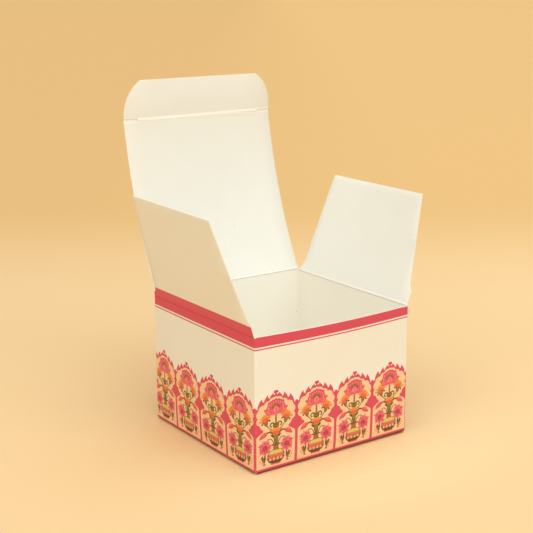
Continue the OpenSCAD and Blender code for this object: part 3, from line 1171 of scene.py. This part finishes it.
neck_x = lid_half - slit_len
round_x = lid_half - tuck_r
top_angle = math.degrees(math.asin((tuck_h - tuck_r_start) / tuck_r))
shoulder = arc((round_x, tuck_r_start), tuck_r, 0, top_angle, 16)
tuck_outline = [(-neck_x, neck_start), (neck_x, neck_start), (neck_x, neck_h), (lid_half, neck_h)]
tuck_outline += shoulder + [(-x, t) for x, t in reversed(shoulder)]
tuck_outline += [(-lid_half, neck_h), (-neck_x, neck_h)]
tuck_sheet = ([], [], [])
tuck_lines = between(neck_start, 2.2, crease_step)[1:]
tuck_flat = flat_blank(tuck_outline, between(-neck_x, neck_x, panel_step)[1:-1], tuck_lines)
add_board(tuck_sheet, tuck_flat, place_tuck, board / 2, -board / 2, apart=lambda v: v < highlight_strip_w)
tuck = make_piece("tuck_sheet", *tuck_sheet, BOARD_FACES)
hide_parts("tuck_flap")
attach(tuck, "tuck")

# Dust flaps.
# A tapered flap creased to each side wall, which folds in under the lid.
# An upright shoulder in front fits the lid's slit, and a slanted relief clears the lid's crease.
flap_len = 54.2
flap_play = 0.2
shoulder_h = 6.9
shoulder_slope = 2.4
shoulder_in = 2.2
tip_front_in = 14
tip_back_in = 5.6
relief_h = 3.7
relief_in = 2.5
FLAP_LEANS = {"left": math.radians(14.5), "right": math.radians(21.7)}
flap_front = board + flap_play - half_d
flap_back = half_d - board - flap_play
FLAP_TRIMS = {"left": (0.9, 1.5), "right": (0, 0)}
FLAP_BOWS = {"left": 0.5, "right": 0.0}
flap_bow_at_back = 0.25


def flap_outline(side):
    """A dust flap's blank, whose front corners were cut a little lower and further in on the left."""
    lower, further_in = FLAP_TRIMS[side]
    return [
        (flap_front, 0),
        (flap_front, shoulder_h - lower),
        (flap_front + shoulder_in, shoulder_h + shoulder_slope - lower),
        (tip_front_in + further_in - half_d, flap_len - lower),
        (half_d - tip_back_in, flap_len),
        (flap_back - relief_in, relief_h),
        (flap_back, relief_h - relief_in),
        (flap_back, 0),
    ]


def place_flap(side):
    """Places points of a dust flap's blank: along the crease, up from it, and out from its middle."""
    sign = 1 if side == "right" else -1
    lean = FLAP_LEANS[side]

    def place(along, up, lift):
        lift = creased(up, lift)
        forwards = flap_bow_at_back + (1 - flap_bow_at_back) * (flap_back - along) / (flap_back - flap_front)
        lift += FLAP_BOWS[side] * forwards * math.sin(math.pi * min(max(up / flap_len, 0), 1))
        out = up * math.sin(lean) + lift * math.cos(lean)
        z = flap_axis.z + up * math.cos(lean) - lift * math.sin(lean)
        return Vector((sign * (flap_axis.x + out), along, z))
    return place


for flap_side in ("left", "right"):
    flap_sheet = ([], [], [])
    flap_lines = between(0, 1.5, crease_step)[1:] + between(3, flap_len, 3)
    flap_posts = between(flap_front, flap_back, panel_step)[1:-1]
    flap_flat = flat_blank(flap_outline(flap_side), flap_posts, flap_lines)
    add_board(flap_sheet, flap_flat, place_flap(flap_side), board / 2, -board / 2,
              rolled=lambda u, v: v < on_edge)
    flap = make_piece(f"dust_flap_{flap_side}_sheet", *flap_sheet, BOARD_FACES)
    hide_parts(f"dust_flap_{flap_side}")
    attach(flap, f"{flap_side}_dust_flap")
    bleed_outline = [
        (flap_front + bleed_inset, -roll_print),
        (flap_back - bleed_inset, -roll_print),
        (flap_back - bleed_inset, relief_h - relief_in),
        (flap_back - relief_in - bleed_inset, relief_h),
        (flap_back - relief_in - 2 * bleed_inset, bleed),
        (flap_front + bleed_inset, bleed),
    ]
    flap_bleed = flat_blank(bleed_outline, flap_posts, roll_lines())
    lay_print(f"dust_flap_{flap_side}_band_print", flap_bleed, round_the_roll(place_flap(flap_side)),
              f"{flap_side}_dust_flap")

# Studio.
# A peach floor with a painted pool of light in front of the box, and painted shade behind it and to the left.
# Broad soft lights shine from above, from the front and from the left, and the camera is at the photograph's
# angle.
# Painted light: the paler tone of a pool in front of the box.
floor_painted_light = srgb(252, 222, 171)
floor_near = srgb(248, 214, 162)
# Painted shade: the floor's darker tone further from the camera, behind the box.
floor_far_painted_shade = srgb(235, 194, 132)
floor_seen_far = srgb(229, 190, 127)
floor_shade = srgb(90, 60, 25)
camera_place = Vector((-326.49, -454.49, 221.49))
camera_target = Vector((-7.502, 0, 83.189))
camera_roll = math.radians(-0.128)
focal_px = 1184.671
picture_px = 533

view_dir = (camera_target - camera_place).normalized()
camera_data = bpy.data.cameras.new("camera")
camera_data.sensor_width = 36
camera_data.lens = focal_px * camera_data.sensor_width / picture_px
camera_data.clip_start = 0.01
camera_data.clip_end = 100
camera = bpy.data.objects.new("camera", camera_data)
bpy.context.scene.collection.objects.link(camera)
camera.location = camera_place * MM
camera.rotation_mode = "QUATERNION"
camera.rotation_quaternion = view_dir.to_track_quat("-Z", "Y")
camera.rotation_mode = "XYZ"
camera.rotation_euler.rotate_axis("Z", camera_roll)
bpy.context.scene.camera = camera

floor_mesh = bpy.data.meshes.new("floor")
floor_half = 20
floor_mesh.from_pydata(
    [(-floor_half, -floor_half, 0), (floor_half, -floor_half, 0), (floor_half, floor_half, 0),
     (-floor_half, floor_half, 0)], [], [(0, 1, 2, 3)])
floor = bpy.data.objects.new("floor", floor_mesh)
bpy.context.scene.collection.objects.link(floor)
floor_material = bpy.data.materials.new("floor paper")
floor_material.use_nodes = True
floor_tree = floor_material.node_tree
floor_shader = floor_tree.nodes["Principled BSDF"]
floor_shader.inputs["Roughness"].default_value = 0.85
floor_shader.inputs["Specular IOR Level"].default_value = 0.1
floor_spot = add_node(floor_tree, "TexCoord").outputs["Object"]
away = add_node(floor_tree, "VectorMath")
away.operation = "DOT_PRODUCT"
away.inputs[1].default_value = Vector((view_dir.x, view_dir.y, 0)).normalized()
floor_tree.links.new(floor_spot, away.inputs[0])
# Painted shade: the floor darkens from the near tone to the far tone away from the camera.
fade = add_node(floor_tree, "MapRange", From_Min=0.22, From_Max=0.58)
fade.interpolation_type = "SMOOTHSTEP"
floor_tree.links.new(away.outputs["Value"], fade.inputs["Value"])
floor_colour = mix_colours(floor_tree, fade.outputs["Result"], floor_near, floor_far_painted_shade)
# Painted shade: the floor darkens a little towards the left.
across = add_node(floor_tree, "VectorMath")
across.operation = "DOT_PRODUCT"
across.inputs[1].default_value = Vector((-view_dir.y, view_dir.x, 0)).normalized()
floor_tree.links.new(floor_spot, across.inputs[0])
dimmer = add_node(floor_tree, "MapRange", From_Min=-0.2, From_Max=0.2, To_Min=0.0, To_Max=0.09)
floor_tree.links.new(across.outputs["Value"], dimmer.inputs["Value"])
floor_colour = mix_colours(floor_tree, dimmer.outputs["Result"], floor_colour, floor_shade)
# Painted light: a pool of paler floor in front of the box and to its right, fading out from its middle.
patch_centre = Vector((12, -46))
patch_reach = Vector((100, 52))
patch = add_node(floor_tree, "Mapping")
patch.vector_type = "TEXTURE"
patch.inputs["Location"].default_value = (*(patch_centre * MM), 0)
patch.inputs["Scale"].default_value = (*(patch_reach * MM), 1)
floor_tree.links.new(floor_spot, patch.inputs["Vector"])
from_front = add_node(floor_tree, "VectorMath")
from_front.operation = "LENGTH"
floor_tree.links.new(patch.outputs[0], from_front.inputs[0])
paler = add_node(floor_tree, "MapRange", From_Min=0.4, From_Max=1.35, To_Min=1.0, To_Max=0.0)
paler.interpolation_type = "SMOOTHSTEP"
floor_tree.links.new(from_front.outputs["Value"], paler.inputs["Value"])
floor_colour = mix_colours(floor_tree, paler.outputs["Result"], floor_colour, floor_painted_light)
floor_tree.links.new(floor_colour, floor_shader.inputs["Base Color"])
floor_mesh.materials.append(floor_material)


def soft_light(name, direction, spread, strength, colour):
    """A broad even light from a direction, its spread in degrees."""
    data = bpy.data.lights.new(name, "SUN")
    data.angle = math.radians(spread)
    data.energy = strength
    data.color = colour
    lamp = bpy.data.objects.new(name, data)
    lamp.rotation_euler = (-Vector(direction)).to_track_quat("-Z", "Y").to_euler()
    bpy.context.scene.collection.objects.link(lamp)


soft_light("overhead light", (0, 0, 1), 80, 2.2, (1, 0.99, 0.97))
soft_light("front light", (0, -0.9, 0.42), 60, 1.0, (0.96, 1, 0.98))
soft_light("left light", (-0.85, -0.35, 0.4), 60, 0.76, (1, 0.92, 0.76))

world = bpy.data.worlds.new("studio air")
bpy.context.scene.world = world
world.use_nodes = True
world_tree = world.node_tree
background = world_tree.nodes["Background"]
background.inputs["Color"].default_value = (1.0, 0.97, 0.9, 1)
background.inputs["Strength"].default_value = 0.16
seen = add_node(world_tree, "Background", Color=floor_seen_far, Strength=1)
path = add_node(world_tree, "LightPath")
choose = add_node(world_tree, "MixShader")
world_tree.links.new(path.outputs["Is Camera Ray"], choose.inputs[0])
world_tree.links.new(background.outputs[0], choose.inputs[1])
world_tree.links.new(seen.outputs[0], choose.inputs[2])
world_tree.links.new(choose.outputs[0], world_tree.nodes["World Output"].inputs["Surface"])

bpy.context.scene.view_settings.view_transform = "Standard"
